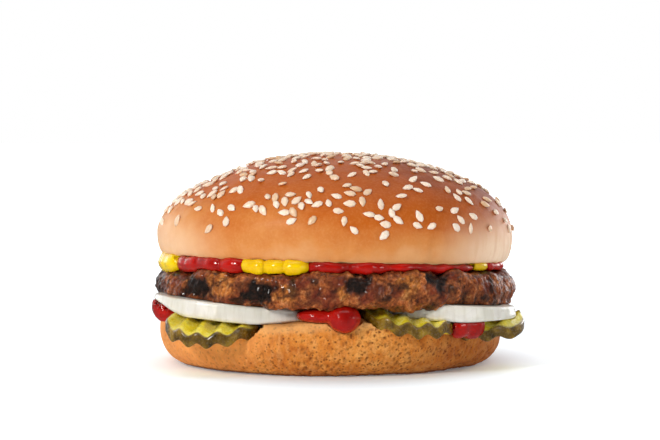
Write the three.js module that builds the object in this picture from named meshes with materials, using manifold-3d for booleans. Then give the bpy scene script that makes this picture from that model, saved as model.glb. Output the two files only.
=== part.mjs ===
// A plain flame-grilled hamburger in a sesame-seed bun, as it is handed over:
// heel, pickle chips, raw onion, ketchup, beef patty, ribbons of ketchup and
// mustard, crown. Millimetres, +Z up, and the front of the burger faces -Y.
// The origin is on the table, under the middle of the burger's outline.
//
// The firm pieces (pickles, onion) keep their shape. The soft ones (bread,
// meat, ketchup) are carved by them, as they give way in a real burger.

import * as THREE from "three";
import { mergeVertices } from "three/addons/utils/BufferGeometryUtils.js";
import Module from "manifold-3d";

const wasm = await Module();
wasm.setup();

// ---------------------------------------------------------------------------
// Driving dimensions
// ---------------------------------------------------------------------------

const GAP = 0.3; // clearance kept between neighbouring pieces
const DEGREE = Math.PI / 180;

const HEEL = { radius: 48.6, height: 15.6, footRadius: 40.5, shoulder: 9.5 };
const CROWN = { radius: 50.2, height: 30, faceRadius: 47.4, waist: 7.4 };
const PATTY = { radius: 51.2, thickness: 9.8, rimDepth: 3.6 };
const ONION = { layer: 4.2, grooveDepth: 1.1, grooveWidth: 0.7, edge: 0.8, taper: 0.7 };
const PICKLE = { thickness: 2.8, ridgePitch: 5, ridgeHeight: 0.85, oval: 0.94 };
const SAUCE_RADIUS = 47.6; // plan radius that the ribbons of sauce reach

// The upper half sits a little to the right of the heel, and leans back.
const UPPER_SHIFT = 1;
const PATTY_TOP = { middle: 26.8, slopeX: 0, slopeY: -0.022 };
const CROWN_FACE = { middle: 29.5, slopeX: -0.022, slopeY: -0.03 };

const heightOn = (plane, x, y) => plane.middle + plane.slopeX * x + plane.slopeY * y;

// ---------------------------------------------------------------------------
// Colours
// ---------------------------------------------------------------------------

const material = (color, roughness) =>
  new THREE.MeshStandardMaterial({ color, roughness, metalness: 0 });

const FINISH = {
  crust: () => material(0xb9702f, 0.5),
  crumb: () => material(0xc98642, 0.85),
  beef: () => material(0x55301f, 0.55),
  onion: () => material(0xe9e6dc, 0.25),
  pickle: () => material(0x8f8a2c, 0.25),
  ketchup: () => material(0xa81a12, 0.15),
  mustard: () => material(0xf0c010, 0.25),
};

// ---------------------------------------------------------------------------
// Geometry helpers
// ---------------------------------------------------------------------------

// A quarter of a superellipse from one profile point to another. It leaves
// `from` going outwards (`outFirst`) or upwards. `power` 2 is a plain ellipse.
function quarter(from, to, power, steps, outFirst) {
  const points = [];
  for (let i = 1; i <= steps; i += 1) {
    const turn = (i / steps) * (Math.PI / 2);
    const rise = Math.pow(Math.sin(turn), 2 / power);
    const fall = 1 - Math.pow(Math.cos(turn), 2 / power);
    const [r, z] = outFirst ? [rise, fall] : [fall, rise];
    points.push(
      new THREE.Vector2(from.x + (to.x - from.x) * r, from.y + (to.y - from.y) * z),
    );
  }
  return points;
}

const at = (r, z) => new THREE.Vector2(r, z);

// A closed body of revolution about Z. The profile runs from axis to axis, upwards.
const turned = (profile, segments) =>
  new THREE.LatheGeometry(profile, segments).rotateX(Math.PI / 2);

// Moves every vertex of a geometry by a function of its position.
function reshape(geometry, move) {
  const position = geometry.getAttribute("position");
  const point = new THREE.Vector3();
  for (let i = 0; i < position.count; i += 1) {
    move(point.fromBufferAttribute(position, i));
    position.setXYZ(i, point.x, point.y, point.z);
  }
  return geometry;
}

// The sum of a few waves round the outline, each [waves, height, phase].
const ripple = (angle, waves) =>
  waves.reduce((sum, [count, height, phase]) => sum + height * Math.sin(count * angle + phase), 0);

// Pushes a body's outline in and out, fading to nothing on its axis.
function uneven(geometry, radius, waves) {
  return reshape(geometry, (p) => {
    const r = Math.hypot(p.x, p.y);
    const push = 1 + (ripple(Math.atan2(p.y, p.x), waves) * Math.min(1, r / radius)) / radius;
    p.x *= push;
    p.y *= push;
  });
}

function solidOf(geometry) {
  const bare = geometry.clone();
  bare.deleteAttribute("normal");
  bare.deleteAttribute("uv");
  const merged = mergeVertices(bare, 1e-3);
  return new wasm.Manifold(
    new wasm.Mesh({
      numProp: 3,
      vertProperties: merged.getAttribute("position").array,
      triVerts: new Uint32Array(merged.index.array),
    }),
  );
}

function geometryOf(solid) {
  const mesh = solid.getMesh();
  const geometry = new THREE.BufferGeometry();
  geometry.setAttribute("position", new THREE.BufferAttribute(mesh.vertProperties, 3));
  geometry.setIndex(new THREE.BufferAttribute(mesh.triVerts, 1));
  geometry.computeVertexNormals();
  return geometry;
}

// ---------------------------------------------------------------------------
// Bread
// ---------------------------------------------------------------------------

function heel() {
  const { radius, height, footRadius, shoulder } = HEEL;
  const lip = 1.2; // the rounded edge of the cut face
  const profile = [
    at(0, 0),
    at(footRadius, 0),
    ...quarter(at(footRadius, 0), at(radius, shoulder), 2.1, 5, true),
    at(radius - 0.3, height - lip - 0.8),
    at(radius - 0.7, height - lip),
    at(radius - lip - 0.9, height),
    at(0, height),
  ];
  return uneven(turned(profile, 36), radius, [
    [2, 0.35, 0.4],
    [3, 0.3, 1.9],
    [5, 0.18, 0.3],
  ]);
}

function crown() {
  const { radius, height, faceRadius, waist } = CROWN;
  const profile = [
    at(0, 0),
    at(faceRadius, 0),
    ...quarter(at(faceRadius, 0), at(radius, waist), 2.6, 4, true),
    ...quarter(at(radius, waist), at(0, height), 2.1, 11, false),
  ];
  const dome = uneven(turned(profile, 44), radius, [
    [2, 0.4, 2.2],
    [3, 0.35, 0.8],
    [4, 0.2, 2.9],
  ]);
  // The top has settled a little to one side.
  return reshape(dome, (p) => {
    const lift = Math.max(0, p.z - waist) / (height - waist);
    p.z += 0.012 * p.x * lift;
  });
}

// ---------------------------------------------------------------------------
// Beef patty
// ---------------------------------------------------------------------------

// Where the bars of the grill crossed the meat, and pinched its rim.
const GRILL_BARS = [-36, -17.5, 8, 27.5];

function patty() {
  const { radius, thickness, rimDepth } = PATTY;
  const bottom = -thickness;
  const middle = bottom / 2;
  const profile = [
    at(0, bottom),
    at(radius * 0.5, bottom),
    at(radius - rimDepth, bottom),
    ...quarter(at(radius - rimDepth, bottom), at(radius, middle), 2.4, 3, true),
    ...quarter(at(radius, middle), at(radius - rimDepth, 0), 2.4, 3, false),
    at(radius * 0.5, 0),
    at(0, 0),
  ];
  const meat = uneven(turned(profile, 48), radius, [
    [3, 0.5, 1.2],
    [7, 0.45, 0.4],
    [11, 0.4, 2.1],
    [17, 0.3, 4.4],
  ]);
  return reshape(meat, (p) => {
    const edge = THREE.MathUtils.smoothstep(Math.hypot(p.x, p.y), radius * 0.85, radius);
    const pinch = GRILL_BARS.reduce((sum, x) => sum + Math.exp(-(((p.x - x) / 3) ** 2)), 0);
    p.y *= 1 - 0.022 * pinch * edge;
    // The left end is thin: its underside sweeps up.
    const sweep = THREE.MathUtils.smoothstep(-p.x, radius * 0.72, radius);
    const depth = -p.z / thickness;
    p.z += 3.6 * sweep * depth;
  });
}

// ---------------------------------------------------------------------------
// Onion slices and pickle chips. Each has a room: the same shape, plainer and
// larger by the gap, that carves the soft pieces round it.
// ---------------------------------------------------------------------------

// Slices and chips are limp. From near its middle to its edge a piece bends
// down by `droop` towards one side, given in degrees, or up if that is negative.
function limp(geometry, radius, { droop = 0, droopTo = 0 }) {
  const towards = new THREE.Vector2(Math.cos(droopTo * DEGREE), Math.sin(droopTo * DEGREE));
  const stiff = 0.2 * radius; // past the middle, on the other side, it is straight
  return reshape(geometry, (p) => {
    const along = Math.max(0, p.x * towards.x + p.y * towards.y + stiff);
    p.z -= droop * (along / (radius + stiff)) ** 2;
  });
}

const ONION_SEGMENTS = 24;
const ONION_OUTLINE = [
  [2, 0.5, 1.1],
  [3, 0.25, 0.2],
];

// The rim of a slice: it is a little narrower on top, nearer the onion's pole.
function onionRim(radius, half) {
  const { edge, taper } = ONION;
  return [
    at(radius - edge, -half),
    at(radius, -half + edge),
    at(radius - taper * 0.4, half - edge),
    at(radius - taper - edge, half),
  ];
}

// A slice across the onion: its outer layer shows as a ring, parted by a groove.
function onionSlice({ radius, thickness, ...bend }) {
  const { layer, grooveDepth, grooveWidth } = ONION;
  const half = thickness / 2;
  const seam = radius - layer;
  const profile = [
    at(0, -half),
    ...onionRim(radius, half),
    at(seam + grooveWidth, half),
    at(seam, half - grooveDepth),
    at(seam - grooveWidth, half),
    at(0, half),
  ];
  return limp(uneven(turned(profile, ONION_SEGMENTS), radius, ONION_OUTLINE), radius, bend);
}

function onionRoom({ radius, thickness, ...bend }) {
  const half = thickness / 2 + GAP;
  const profile = [at(0, -half), ...onionRim(radius + GAP, half), at(0, half)];
  return limp(uneven(turned(profile, ONION_SEGMENTS), radius, ONION_OUTLINE), radius, bend);
}

// A crinkle-cut chip: a sheet folded up and down in ridges, trimmed to an oval.
// The ridges follow one another in the direction `spin`, in degrees.
function pickleChip({ radius, spin, ...bend }) {
  const { thickness, ridgePitch, ridgeHeight, oval } = PICKLE;
  const half = ridgePitch / 2;
  const folds = Math.ceil((2 * radius + 1) / half);
  const fold = (i) => [(i - folds / 2) * half, i % 2 ? ridgeHeight : -ridgeHeight];
  const ridges = Array.from({ length: folds + 1 }, (_, i) => fold(i));
  const outline = [
    ...ridges.map(([x, z]) => new THREE.Vector2(x, z - thickness / 2)),
    ...ridges.toReversed().map(([x, z]) => new THREE.Vector2(x, z + thickness / 2)),
  ];
  const sheet = new THREE.ExtrudeGeometry(new THREE.Shape(outline), {
    depth: 2 * radius + 1,
    steps: 5,
    bevelEnabled: false,
  })
    .translate(0, 0, -radius - 0.5)
    .rotateX(Math.PI / 2)
    .rotateZ(spin * DEGREE);
  const trim = new THREE.CylinderGeometry(radius, radius, 6 * thickness, 26)
    .rotateX(Math.PI / 2)
    .scale(1, oval, 1)
    .rotateZ(spin * DEGREE);
  return geometryOf(solidOf(limp(sheet, radius, bend)).intersect(solidOf(trim)));
}

// The room over a chip is open upwards, so that no bread is left above it.
function pickleRoom({ radius, spin, ...bend }) {
  const { thickness, ridgeHeight, oval } = PICKLE;
  const low = -thickness / 2 - ridgeHeight - GAP;
  const high = low + 9;
  const r = radius + GAP;
  const profile = [at(0, low), at(r / 2, low), at(r, low), at(r, high), at(0, high)];
  return limp(turned(profile, 22).scale(1, oval, 1).rotateZ(spin * DEGREE), radius, bend);
}

// ---------------------------------------------------------------------------
// Sauce
// ---------------------------------------------------------------------------

// A ribbon squeezed from front to back across the patty and pressed flat by
// the crown. Its ends bulge out in round lobes, and it fills the whole gap.
function ribbon({ left, right, lobes, bulge, swell = 1 }) {
  const reach = (x, phase) => {
    const across = (x - left) / (right - left);
    const lobe = Math.abs(Math.sin(Math.PI * (lobes * across + phase)));
    return Math.sqrt(Math.max(0, SAUCE_RADIUS ** 2 - x ** 2)) + bulge * Math.sqrt(lobe);
  };
  const steps = Math.max(4, lobes * 4);
  const across = Array.from({ length: steps + 1 }, (_, i) => left + ((right - left) * i) / steps);
  const front = across.map((x) => new THREE.Vector2(x, -reach(x, 0)));
  const back = across.toReversed().map((x) => new THREE.Vector2(x, reach(x, 0.35) - 0.6));
  const round = 0.32; // of the thickness, at the top edge and the bottom one
  const inset = Math.min(0.7, (right - left) * 0.14);
  const flat = new THREE.ExtrudeGeometry(new THREE.Shape([...front, ...back]), {
    depth: 1 - 2 * round,
    bevelThickness: round,
    bevelSize: inset,
    bevelOffset: -inset,
    bevelSegments: 2,
  }).translate(0, 0, round);
  return reshape(flat, (p) => {
    const low = heightOn(PATTY_TOP, p.x, p.y) + GAP;
    const high = heightOn(CROWN_FACE, p.x, p.y) - GAP;
    p.z = low + (high - low) * p.z * swell;
  });
}

const RIBBONS = {
  mustard_far_left: { left: -46.4, right: -42.6, lobes: 1, bulge: 0.7 },
  ketchup_left: { left: -42, right: -23.8, lobes: 3, bulge: 1.3 },
  mustard_left: { left: -23.2, right: -7.6, lobes: 3, bulge: 1.5 },
  ketchup_middle: { left: -6.4, right: 37.4, lobes: 4, bulge: 0.9 },
  mustard_right: { left: 38, right: 41.4, lobes: 1, bulge: 0.6 },
  ketchup_right: { left: 42, right: 46, lobes: 1, bulge: 0.8 },
};

// A dollop is a few round lobes run together. Each lobe is its centre and radii.
function dollop(lobes, grow = 0) {
  return lobes
    .map(([x, y, z, rx, ry, rz]) =>
      solidOf(
        new THREE.SphereGeometry(1, 11, 7)
          .rotateX(Math.PI / 2)
          .scale(rx + grow, ry + grow, rz + grow)
          .translate(x, y, z),
      ),
    )
    .reduce((all, lobe) => all.add(lobe));
}

const DOLLOPS = {
  ketchup_low_left: [
    [-45.6, -17.5, 15.6, 3.6, 4.2, 2.7],
    [-41, -15, 16.4, 5, 5, 2],
  ],
  ketchup_low_middle: [
    [4, -48.2, 15.8, 3.9, 3.4, 3.1],
    [-1.5, -44.8, 16.6, 7, 4.6, 1.7],
  ],
  ketchup_low_right: [
    [34.6, -36.4, 13, 3.2, 3.6, 2.6],
    [38.6, -33.2, 12.9, 3.4, 3.8, 3],
    [33, -31.4, 14.2, 4.4, 5, 1.6],
  ],
  ketchup_low_back: [
    [24, 42.4, 15.6, 4.6, 4.2, 2.7],
    [20, 38.6, 16.4, 5.6, 5, 2],
  ],
};

// ---------------------------------------------------------------------------
// Assembly
// ---------------------------------------------------------------------------

const burger = new THREE.Group();
const stack = new THREE.Group(); // everything, before the origin is centred
burger.add(stack);

function place(name, geometry, finish, parent = stack) {
  const mesh = new THREE.Mesh(geometry, finish());
  mesh.name = name;
  parent.add(mesh);
  return mesh;
}

// Puts a mesh where it lies: its centre, the way it leans and how far, in degrees.
function lay(mesh, { x, y, z, leanTo = 0, lean = 0 }) {
  const leanAxis = new THREE.Vector3(-Math.sin(leanTo * DEGREE), Math.cos(leanTo * DEGREE), 0);
  mesh.position.set(x, y, z);
  mesh.quaternion.setFromAxisAngle(leanAxis, lean * DEGREE);
  return mesh;
}

// Slices of onion on the heel, two at the front and one at the back.
const SLICES = {
  onion_left: {
    shape: { radius: 22.2, thickness: 5.2, droop: 1.3, droopTo: -95 },
    spot: { x: -26, y: -21.2, z: 18.6 },
  },
  onion_right: {
    shape: { radius: 21, thickness: 4.8, droop: 1.2, droopTo: -10 },
    spot: { x: 30.4, y: -20.6, z: 18.3, lean: 3 },
  },
  onion_back: {
    shape: { radius: 21.5, thickness: 4.2, droop: 0.8, droopTo: 90 },
    spot: { x: 2, y: 24.6, z: 18 },
  },
};

// Crinkle-cut chips, pressed into the heel's edge, most of them hanging over it.
const CHIPS = {
  pickle_left: {
    shape: { radius: 13, spin: -12, droop: 2.5, droopTo: -105 },
    spot: { x: -31.4, y: -35.3, z: 12.8 },
  },
  pickle_middle: {
    shape: { radius: 13, spin: 8, droop: -2.6, droopTo: -80 },
    spot: { x: 20.6, y: -36.6, z: 12.7, lean: 6.2 },
  },
  pickle_right: {
    shape: { radius: 13.2, spin: -24, droop: 1.6, droopTo: -70 },
    spot: { x: 41, y: -20.8, z: 11.3, leanTo: -110, lean: 2 },
  },
  pickle_back: {
    shape: { radius: 13.2, spin: 160, droop: 2.4, droopTo: 118 },
    spot: { x: -20, y: 34.6, z: 12.8 },
  },
};

const firm = []; // what carves the soft pieces, as [mesh, larger copy]

for (const [name, { shape, spot }] of Object.entries(SLICES)) {
  const mesh = lay(place(name, onionSlice(shape), FINISH.onion), spot);
  firm.push([mesh, solidOf(onionRoom(shape))]);
}

for (const [name, { shape, spot }] of Object.entries(CHIPS)) {
  const mesh = lay(place(name, pickleChip(shape), FINISH.pickle), spot);
  firm.push([mesh, solidOf(pickleRoom(shape))]);
}

const upper = new THREE.Group(); // patty and crown, set a little to the right
upper.position.x = UPPER_SHIFT;
stack.add(upper);

const heelMesh = place("heel", heel(), FINISH.crumb);
const pattyMesh = place("patty", patty(), FINISH.beef, upper);
pattyMesh.position.z = PATTY_TOP.middle;
pattyMesh.rotation.set(Math.atan(PATTY_TOP.slopeY), -Math.atan(PATTY_TOP.slopeX), 0);
const crownMesh = place("crown", crown(), FINISH.crust, upper);
crownMesh.position.z = CROWN_FACE.middle;
crownMesh.rotation.set(Math.atan(CROWN_FACE.slopeY), -Math.atan(CROWN_FACE.slopeX), 0);

for (const [name, shape] of Object.entries(RIBBONS)) {
  const finish = name.startsWith("mustard") ? FINISH.mustard : FINISH.ketchup;
  place(name, ribbon(shape), finish, upper);
}

stack.updateMatrixWorld(true);

// Carries a solid from one mesh's frame to another's.
function moved(solid, from, to) {
  const matrix = to.matrixWorld.clone().invert().multiply(from.matrixWorld);
  return solid.transform(matrix.elements);
}

// Cuts the cutters out of a soft piece, and drops the crumbs that fall off.
function carve(mesh, cutters) {
  const left = cutters.reduce(
    (solid, [from, cutter]) => solid.subtract(moved(cutter, from, mesh)),
    solidOf(mesh.geometry),
  );
  const [largest] = left.decompose().sort((a, b) => b.volume() - a.volume());
  mesh.geometry = geometryOf(largest);
}

for (const [name, lobes] of Object.entries(DOLLOPS)) {
  const mesh = place(name, geometryOf(dollop(lobes)), FINISH.ketchup);
  mesh.updateMatrixWorld(true);
  carve(mesh, firm);
  firm.push([mesh, dollop(lobes, GAP)]);
}

carve(pattyMesh, firm);
carve(heelMesh, [...firm, [pattyMesh, solidOf(patty()).translate(0, 0, -GAP)]]);

// The origin goes under the middle of the outline.
const outline = new THREE.Box3().setFromObject(stack, true);
const middle = outline.getCenter(new THREE.Vector3());
stack.position.set(-middle.x, -middle.y, -outline.min.z);

export default burger;
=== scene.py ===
# %% [markdown]
# # A hamburger
# A hamburger is a stack of soft things that have pressed into one another. The CAD
# frame holds each piece's size and place; here each piece gets its true surface.
# Everything is in metres, with the stack along Z and the front facing -Y.

# %% Load the frame
import math
import random

import bmesh
import bpy
import numpy as np
from mathutils import Matrix, Vector, noise
from mathutils.bvhtree import BVHTree


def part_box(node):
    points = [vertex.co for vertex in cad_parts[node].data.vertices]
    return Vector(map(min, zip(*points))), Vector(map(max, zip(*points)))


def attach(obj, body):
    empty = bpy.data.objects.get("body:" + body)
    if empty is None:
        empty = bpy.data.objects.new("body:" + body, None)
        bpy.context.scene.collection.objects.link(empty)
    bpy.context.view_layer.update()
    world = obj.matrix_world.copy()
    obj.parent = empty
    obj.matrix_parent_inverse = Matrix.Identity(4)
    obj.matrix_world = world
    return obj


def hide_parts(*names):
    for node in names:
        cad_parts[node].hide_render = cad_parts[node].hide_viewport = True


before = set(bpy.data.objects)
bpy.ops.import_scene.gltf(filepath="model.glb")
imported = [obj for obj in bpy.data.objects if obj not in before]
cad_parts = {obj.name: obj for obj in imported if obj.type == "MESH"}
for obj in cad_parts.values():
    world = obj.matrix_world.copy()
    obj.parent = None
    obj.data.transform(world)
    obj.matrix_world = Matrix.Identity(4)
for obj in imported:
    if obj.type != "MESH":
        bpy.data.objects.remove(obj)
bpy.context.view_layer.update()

MM = 0.001

# %% [markdown]
# ## Camera, table and light
# A low eye level, some way off, makes the layers read as bands. The lights could be one
# bright sky, but that leaves food flat and dry. So a large soft box overhead gives the
# even light of a food studio, two small ones in front give the wet highlights on meat
# and sauce, and two behind light the rims.

# %% Camera
scene = bpy.context.scene

EYE_LEVEL = math.radians(2.5)
EYE_DISTANCE = 650 * MM
EYE_TARGET = Vector((-2.1 * MM, 0, 40.2 * MM))
FOCAL_LENGTH = 124  # in millimetres of lens

camera = bpy.data.objects.new("camera", bpy.data.cameras.new("camera"))
scene.collection.objects.link(camera)
camera.data.lens = FOCAL_LENGTH
camera.location = EYE_TARGET + EYE_DISTANCE * Vector((0, -math.cos(EYE_LEVEL), math.sin(EYE_LEVEL)))
camera.rotation_euler = (EYE_TARGET - camera.location).to_track_quat("-Z", "Y").to_euler()
scene.camera = camera
print("camera at", [round(v, 3) for v in camera.location])


# %% A short way to wire nodes
def node(tree, kind, inputs=None, **settings):
    """Adds a shader node. A socket given as an input is linked, and anything else is its value."""
    made = tree.nodes.new("ShaderNode" + kind)
    for key, value in settings.items():
        setattr(made, key, value)
    for key, value in (inputs or {}).items():
        if isinstance(value, bpy.types.NodeSocket):
            tree.links.new(value, made.inputs[key])
        else:
            made.inputs[key].default_value = value
    return made


def tint(red, green, blue):
    """A screen colour, 0 to 255, as the linear colour that shaders use."""
    return tuple(
        ((c / 255 + 0.055) / 1.055) ** 2.4 if c > 10 else c / 3294 for c in (red, green, blue)
    ) + (1,)


# %% [markdown]
# ## Finishes
# Real food is never one colour: it is blotched, speckled and wet in places. A painted
# texture could show that, but it would need its own layout on every piece. So every
# finish starts from one Principled shader, and noise feeds its colour, roughness and
# bump. Patterns read Object coordinates, which for a mesh at the origin are plain
# metres, so a scale of 1000 means about one feature a millimetre.


# %% Helpers for finishes
def new_finish(name, **values):
    """A material with constant values set on its shader."""
    material = bpy.data.materials.new(name)
    material.use_nodes = True
    shader = material.node_tree.nodes["Principled BSDF"]
    for key, value in values.items():
        shader.inputs[key.replace("_", " ")].default_value = value
    return material


def metres(tree):
    """Object coordinates, which are metres."""
    return node(tree, "TexCoord").outputs["Object"]


def stretched(tree, x, y, z):
    """Object coordinates scaled by different amounts along X, Y and Z."""
    return node(tree, "Mapping", {"Vector": metres(tree), "Scale": (x, y, z)}).outputs["Vector"]


def clouds(tree, scale, detail=4.0, vector=None, roughness=0.55):
    """Cloudy noise, mostly between 0.3 and 0.7."""
    place = vector or metres(tree)
    inputs = {"Vector": place, "Scale": scale, "Detail": detail, "Roughness": roughness}
    return node(tree, "TexNoise", inputs).outputs["Fac"]


def cells(tree, scale):
    """The distance to the middle of the nearest random cell."""
    return node(tree, "TexVoronoi", {"Vector": metres(tree), "Scale": scale}).outputs["Distance"]


def between(tree, value, low, high, to_low=0.0, to_high=1.0):
    """Stretches a value from one range to another, and keeps it inside."""
    return node(
        tree,
        "MapRange",
        {"Value": value, "From Min": low, "From Max": high, "To Min": to_low, "To Max": to_high},
    ).outputs["Result"]


def carried(tree, name, most=1.0):
    """A number from 0 to 1 that the mesh's vertices carry, scaled to a most."""
    number = node(tree, "Attribute", attribute_name=name).outputs["Fac"]
    return number if most == 1.0 else between(tree, number, 0, 1, 0, most)


def calc(tree, operation, a, b):
    """A sum with two numbers, each a socket or a plain value."""
    return node(tree, "Math", {0: a, 1: b}, operation=operation).outputs["Value"]


def halfway(tree, a, b):
    """The mean of two patterns."""
    return calc(tree, "ADD", calc(tree, "MULTIPLY", a, 0.5), calc(tree, "MULTIPLY", b, 0.5))


def mixed(tree, factor, a, b):
    """Colour b over colour a by a factor. A Mix node keeps its colours in sockets 6 and 7."""
    return node(tree, "Mix", {0: factor, 6: a, 7: b}, data_type="RGBA").outputs[2]


def ramp(tree, value, *stops):
    """A colour for a value, from (position, colour) stops."""
    made = node(tree, "ValToRGB", {"Fac": value})
    elements = made.color_ramp.elements
    while len(elements) < len(stops):
        elements.new(1.0)
    for element, (position, colour) in zip(elements, stops):
        element.position = position
        element.color = colour
    return made.outputs["Color"]


def bump(tree, height, depth, normal=None):
    """A bump of about that depth in metres, over another bump if there is one."""
    inputs = {"Height": height, "Distance": depth}
    if normal:
        inputs["Normal"] = normal
    return node(tree, "Bump", inputs).outputs["Normal"]


def finished(material, colour, roughness, normal):
    """Links what varies over the surface to the material's shader."""
    shader = material.node_tree.nodes["Principled BSDF"]
    for socket, value in (("Base Color", colour), ("Roughness", roughness), ("Normal", normal)):
        material.node_tree.links.new(value, shader.inputs[socket])
    print("finish:", material.name)
    return material


# %% [markdown]
# ## Studio
# Wet food mirrors the room, so what stands round it matters as much as the lamps. An
# even white room would put a grey veil over meat and crust. So the surroundings are
# darker in front than behind, and a table of white paper lies under the burger.


# %% Surroundings
def white_studio(front, back):
    """Surroundings that light the burger more from behind than from the front, which
    leaves dark, clear reflections at the front and pale ones at the rim. The backdrop
    itself, which only the camera sees, is plain white."""
    world = bpy.data.worlds.new("white studio")
    world.use_nodes = True
    tree = world.node_tree
    backdrop = tree.nodes["Background"]
    backdrop.inputs["Color"].default_value = (1, 1, 1, 1)
    direction = node(tree, "TexCoord").outputs["Generated"]
    depth = node(tree, "SeparateXYZ", {"Vector": direction}).outputs["Y"]
    strength = between(tree, depth, -0.3, 0.7, front, back)
    lit = {"Color": (0.97, 0.98, 1, 1), "Strength": strength}
    room = node(tree, "Background", lit).outputs["Background"]
    seen = node(tree, "LightPath").outputs["Is Camera Ray"]
    shown = node(tree, "MixShader", {0: seen, 1: room, 2: backdrop.outputs["Background"]})
    tree.links.new(shown.outputs["Shader"], tree.nodes["World Output"].inputs["Surface"])
    return world


scene.world = white_studio(front=0.05, back=0.8)
scene.view_settings.view_transform = "Standard"
print("world:", scene.world.name)


# %% Soft boxes
AIM = Vector((0, 0, 30 * MM))  # the middle of the burger


def soft_box(name, place, size, power, colour=(1, 1, 1)):
    """A square light at a place, turned to the burger."""
    light = bpy.data.lights.new(name, "AREA")
    light.shape = "SQUARE"
    light.size = size
    light.energy = power
    light.color = colour
    lamp = bpy.data.objects.new(name, light)
    lamp.location = place
    lamp.rotation_euler = (AIM - lamp.location).to_track_quat("-Z", "Y").to_euler()
    scene.collection.objects.link(lamp)


soft_box("soft_box_top", (0, -0.15, 1.2), size=1.2, power=5.5)
soft_box("soft_box_left", (-0.6, -0.75, 0.45), size=0.18, power=6.0, colour=(1, 0.97, 0.93))
soft_box("soft_box_right", (0.75, -0.6, 0.3), size=0.3, power=1.2, colour=(1, 0.98, 0.96))
soft_box("soft_box_rim_right", (0.6, 0.75, 0.2), size=0.5, power=2.2)
soft_box("soft_box_rim_left", (-0.6, 0.75, 0.2), size=0.5, power=0.7)

# %% Table finish
def table_finish():
    """White paper. It glows little under the burger, where its shadow lies, more past the
    burger's rim, and most far off, so that it runs into the backdrop without a horizon.
    It is dim in reflections, which keeps the meat dark and rich."""
    material = new_finish("white_paper", Base_Color=(0.8, 0.88, 0.94, 1), Roughness=0.9)
    tree = material.node_tree
    shader = tree.nodes["Principled BSDF"]
    shader.inputs["Emission Color"].default_value = (1, 1, 1, 1)
    place = stretched(tree, 1.0, 0.7, 1.0)
    distance = node(tree, "VectorMath", {0: place}, operation="LENGTH").outputs["Value"]
    near_glow = between(tree, distance, 38 * MM, 58 * MM, 0.12, 0.45)
    far_glow = between(tree, distance, 100 * MM, 700 * MM, 0.0, 0.9)
    glow = calc(tree, "ADD", far_glow, near_glow)
    tree.links.new(glow, shader.inputs["Emission Strength"])
    dim = node(tree, "Emission", {"Color": (1, 1, 1, 1), "Strength": 0.22}).outputs["Emission"]
    reflected = node(tree, "LightPath").outputs["Is Glossy Ray"]
    shown = node(tree, "MixShader", {0: reflected, 1: shader.outputs["BSDF"], 2: dim})
    tree.links.new(shown.outputs["Shader"], tree.nodes["Material Output"].inputs["Surface"])
    return material


# %% Table
TABLE_REACH = 6  # metres from the burger to each edge, so that no edge is seen

bm = bmesh.new()
bmesh.ops.create_grid(bm, x_segments=1, y_segments=1, size=TABLE_REACH)
floor_mesh = bpy.data.meshes.new("floor")
bm.to_mesh(floor_mesh)
bm.free()
floor_mesh.materials.append(table_finish())
floor = bpy.data.objects.new("floor", floor_mesh)
scene.collection.objects.link(floor)
print("table:", floor.name)

# %% [markdown]
# ## How the pieces are made
# Bread, meat, onion and pickle are all round. They could be sculpted by hand, but then
# no number would say how they are made. So each starts as a profile that is spun about
# the vertical. What makes them food comes after: every vertex is moved a little by
# noise, and pieces that lie on each other press in. Vertices also carry plain numbers,
# such as how charred the meat is, for the materials to read.


# %% Numbers that fade and wobble
NOISE_SEED = 11
noise.seed_set(NOISE_SEED)  # noise vectors would otherwise start from the clock


def fade(value, low, high):
    """0 below low, 1 above high, and smooth between. low may be the larger one."""
    t = min(1.0, max(0.0, (value - low) / (high - low)))
    return t * t * (3 - 2 * t)


def rough(point, size, octaves=3):
    """Noise from about -1 to 1, with features of about that size."""
    return noise.fractal(point / size, 1.0, 2.0, octaves)


def cell(point, size):
    """How far a point is from the middle of its random cell, and from the cell's border."""
    near, next_one = noise.voronoi(point / size)[0][:2]
    return near, next_one - near


def blot(across, up, spots):
    """How deep inside the nearest oval spot a place lies: 1 at its middle, 0 at its rim,
    and less outside. A spot is its place across and up, and its two half widths."""
    return max(1 - math.hypot((across - x) / wide, (up - z) / high) for x, z, wide, high in spots)


print("roughness at one place:", round(rough(Vector((10 * MM, 0, 0)), 5 * MM), 3))


# %% Profiles and spinning
def quarter(start, end, power, steps, outwards):
    """Points of a quarter of a superellipse, from one (radius, height) to another.
    It sets off outwards or else upwards, and leaves the start itself out."""
    points = []
    for i in range(1, steps + 1):
        turn = i / steps * math.pi / 2
        rise = math.sin(turn) ** (2 / power)
        fall = 1 - max(0.0, math.cos(turn)) ** (2 / power)
        across, up = (rise, fall) if outwards else (fall, rise)
        radius = start[0] + (end[0] - start[0]) * across
        height = start[1] + (end[1] - start[1]) * up
        points.append((radius, height))
    return points


def straight(start, end, steps):
    """Even points from one (radius, height) to another, without the start."""
    return [
        (start[0] + (end[0] - start[0]) * i / steps, start[1] + (end[1] - start[1]) * i / steps)
        for i in range(1, steps + 1)
    ]


def spun(profile, steps):
    """A closed body about Z from (radius, height) points that run from axis to axis, upwards."""
    bm = bmesh.new()
    verts = [bm.verts.new((r, 0, z)) for r, z in profile]
    edges = [bm.edges.new(pair) for pair in zip(verts, verts[1:])]
    bmesh.ops.spin(
        bm,
        geom=verts + edges,
        cent=(0, 0, 0),
        axis=(0, 0, 1),
        angle=2 * math.pi,
        steps=steps,
        use_merge=True,
    )
    bmesh.ops.remove_doubles(bm, verts=bm.verts, dist=1e-7)
    bmesh.ops.recalc_face_normals(bm, faces=bm.faces)
    bm.normal_update()
    return bm


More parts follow.
